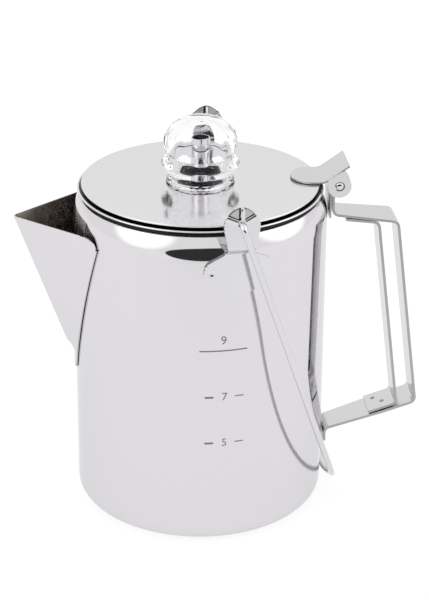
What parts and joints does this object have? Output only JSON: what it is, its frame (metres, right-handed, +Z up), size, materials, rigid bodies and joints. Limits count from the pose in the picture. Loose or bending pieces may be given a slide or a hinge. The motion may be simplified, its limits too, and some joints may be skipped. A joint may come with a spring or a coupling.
{
  "type": "coffee percolator",
  "caption": "Steel camping coffee percolator with a folded spout, strap handle, wire bail, hinged lid, clear knob, pump stem, basket and spreader.",
  "frame": {"origin": "middle of the flat underside of the pot, on the surface that it stands on", "axes": "+Z up along the pot's axis; +X towards the handle, -X towards the spout; the bail's ears are at -Y (front) and +Y (back)"},
  "size_m": [0.2166, 0.1616, 0.2148],
  "materials": {
    "polished_steel": "mirror-polished stainless steel",
    "satin_steel": "satin stainless strip",
    "brushed_steel": "fine satin stainless plate",
    "clear_knob": "clear moulded"
  },
  "bodies": {
    "pot": {"pot_body": "polished_steel", "spout": "polished_steel", "handle_outer_strap": "satin_steel", "handle_inner_strap": "satin_steel", "hinge_bracket": "satin_steel", "hinge_pin": "polished_steel", "bail_ear_front": "satin_steel", "bail_ear_back": "satin_steel"},
    "lid": {"lid_plate": "brushed_steel", "lid_skirt": "polished_steel", "lid_hinge_leaf": "satin_steel"},
    "knob": {"knob": "clear_knob", "knob_washer": "clear_knob"},
    "bail": {"bail_wire": "polished_steel"},
    "stem": {"pump_tube": "polished_steel", "pump_base": "polished_steel", "basket_stop_collar": "polished_steel"},
    "basket": {"basket_shell": "satin_steel", "basket_sleeve": "satin_steel"},
    "spreader": {"basket_lid": "satin_steel"}
  },
  "joints": [
    {"name": "lid_hinge", "type": "hinge", "parent": "pot", "child": "lid", "pos_m": [0.0721, 0, 0.1785], "axis": [0, 1, 0], "range_deg": [0, 120]},
    {"name": "knob_turn", "type": "hinge", "parent": "lid", "child": "knob", "pos_m": [0, 0, 0.18], "axis": [0, 0, 1], "range_deg": [0, 90]},
    {"name": "bail_swing", "type": "hinge", "parent": "pot", "child": "bail", "pos_m": [0.0119, 0.00025, 0.186], "axis": [0.0209, -0.9998, 0], "range_deg": [0, 316]},
    {"name": "stem_lift", "type": "slide", "parent": "pot", "child": "stem", "axis": [0, 0, 1], "range_m": [0, 0.005]},
    {"name": "basket_lift", "type": "slide", "parent": "stem", "child": "basket", "axis": [0, 0, 1], "range_m": [0, 0.003]},
    {"name": "spreader_lift", "type": "slide", "parent": "basket", "child": "spreader", "axis": [0, 0, 1], "range_m": [0, 0.0025]}
  ]
}
